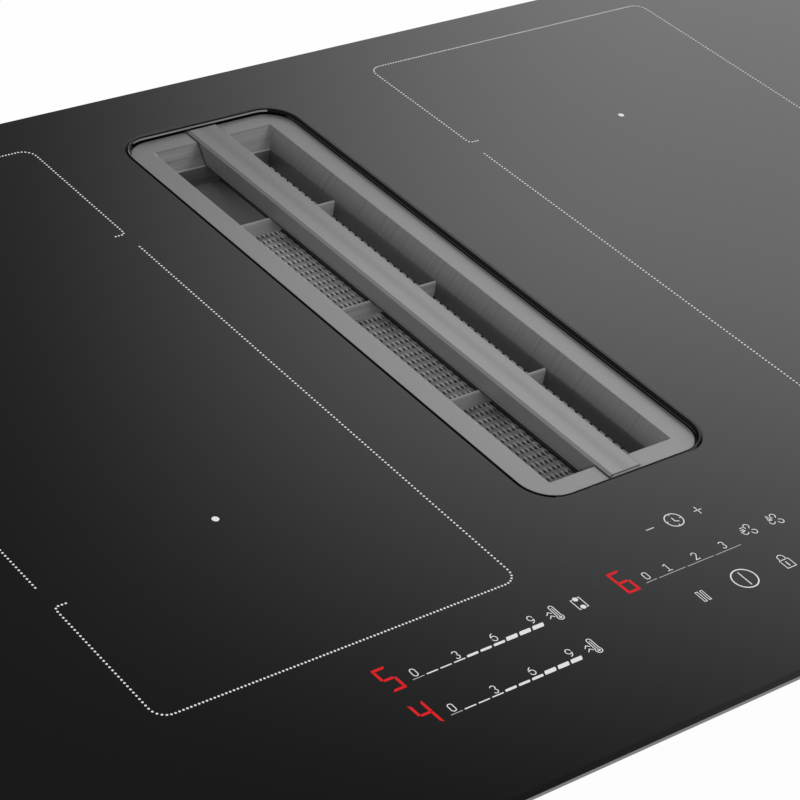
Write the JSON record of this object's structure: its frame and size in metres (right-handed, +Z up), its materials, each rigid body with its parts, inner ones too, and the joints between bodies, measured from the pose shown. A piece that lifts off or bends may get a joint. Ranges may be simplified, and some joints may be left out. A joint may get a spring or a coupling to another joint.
{
  "type": "downdraft induction cooktop",
  "caption": "Built-in black glass induction cooktop with touch controls and a central extractor slot: grille, filter and tray lift out above a blower with a flat-duct outlet.",
  "frame": {"origin": "middle of the glass top in plan, in the plane of the worktop's top surface, which is the underside of the foam seal", "axes": "+X to the user's right, +Y to the back, +Z up out of the worktop"},
  "size_m": [0.851, 0.515, 0.2054],
  "materials": {
    "black_glass": "polished black glass-ceramic, opaque",
    "black_trim": "glossy black",
    "foam_rubber": "matt closed-cell foam",
    "case_steel": "galvanised sheet steel, satin",
    "dark_plastic": "matt dark grey moulding",
    "blower_plastic": "matt dark grey moulding",
    "screw_steel": "zinc-plated",
    "motor_metal": "die-cast",
    "wheel_plastic": "matt blue moulding",
    "tray_plastic": "matt grey moulding",
    "filter_plastic": "matt dark grey moulding",
    "filter_metal": "pressed perforated sheet",
    "grille_steel": "brushed across, satin",
    "bar_aluminium": "brushed lengthways, satin",
    "ferrite": "sintered, matt",
    "mica": "mica sheet",
    "white_plastic": "matt heat-resistant moulding",
    "lead_red": "silicone sleeve",
    "plate_aluminium": "mill finish",
    "board_green": "circuit board lacquer",
    "black_plastic": "matt black moulding",
    "yellow_plastic": "capacitor case",
    "coil_copper": "enamelled stranded copper",
    "spring_brass": "plated",
    "display_red": "red-tinted display window"
  },
  "bodies": {
    "hob": {"glass_top": "black_glass", "slot_trim": "black_trim", "worktop_seal": "foam_rubber", "case_floor": "case_steel", "control_bay": "case_steel", "case_walls": "case_steel", "air_well": "dark_plastic", "well_collar": "dark_plastic", "filter_shelf": "dark_plastic", "airbox_lid": "dark_plastic", "airbox_walls": "dark_plastic", "airbox_floor": "dark_plastic", "tray_rests": "dark_plastic", "airbox_screws": "screw_steel", "scroll_cover": "blower_plastic", "inlet_ring": "blower_plastic", "scroll_housing": "blower_plastic", "scroll_screws": "screw_steel", "blower_screws": "screw_steel", "duct_spigot": "blower_plastic", "blower_motor": "motor_metal", "coils_left": "coil_copper", "coils_right": "coil_copper", "coil_carriers": "white_plastic", "ferrite_bars": "ferrite", "insulation_sheets": "mica", "zone_sensors": "white_plastic", "coil_leads": "lead_red", "shield_plates": "plate_aluminium", "power_boards": "board_green", "heat_sinks": "plate_aluminium", "power_switches": "black_plastic", "film_capacitors": "yellow_plastic", "filter_chokes": "coil_copper", "board_posts": "white_plastic", "fan_housings": "black_plastic", "mains_board": "board_green", "terminal_block": "white_plastic", "cord_gland": "black_plastic", "blower_driver": "board_green", "control_board": "black_plastic", "touch_springs": "spring_brass", "display_modules": "display_red", "clamp_brackets": "case_steel", "bracket_screws": "screw_steel"},
    "tray": {"collecting_tray": "tray_plastic"},
    "filter": {"filter_frame": "filter_plastic", "filter_spine": "black_trim", "filter_sheet_left": "filter_metal", "filter_sheet_right": "filter_metal", "filter_mesh": "filter_metal"},
    "grille": {"grille_frame": "grille_steel", "grille_crossbars": "grille_steel", "deflector_bar": "bar_aluminium"},
    "blower_wheel": {"impeller": "wheel_plastic", "impeller_blades": "wheel_plastic", "motor_shaft": "screw_steel"},
    "fan_left": {"fan_rotor_left": "black_plastic"},
    "fan_right": {"fan_rotor_right": "black_plastic"}
  },
  "joints": [
    {"name": "tray_lift", "type": "slide", "parent": "hob", "child": "tray", "axis": [0, 0, 1], "range_m": [0, 0.12]},
    {"name": "filter_lift", "type": "slide", "parent": "tray", "child": "filter", "axis": [0, 0, 1], "range_m": [0, 0.08]},
    {"name": "grille_lift", "type": "slide", "parent": "filter", "child": "grille", "axis": [0, 0, 1], "range_m": [0, 0.06]},
    {"name": "wheel_spin", "type": "hinge", "parent": "hob", "child": "blower_wheel", "pos_m": [-0.0127, 0.092, -0.15], "axis": [0, 0, 1], "continuous": true},
    {"name": "fan_left_spin", "type": "hinge", "parent": "hob", "child": "fan_left", "pos_m": [-0.1945, 0.178, -0.05], "axis": [0, 0, 1], "continuous": true},
    {"name": "fan_right_spin", "type": "hinge", "parent": "hob", "child": "fan_right", "pos_m": [0.2035, 0.178, -0.05], "axis": [0, 0, 1], "continuous": true}
  ]
}
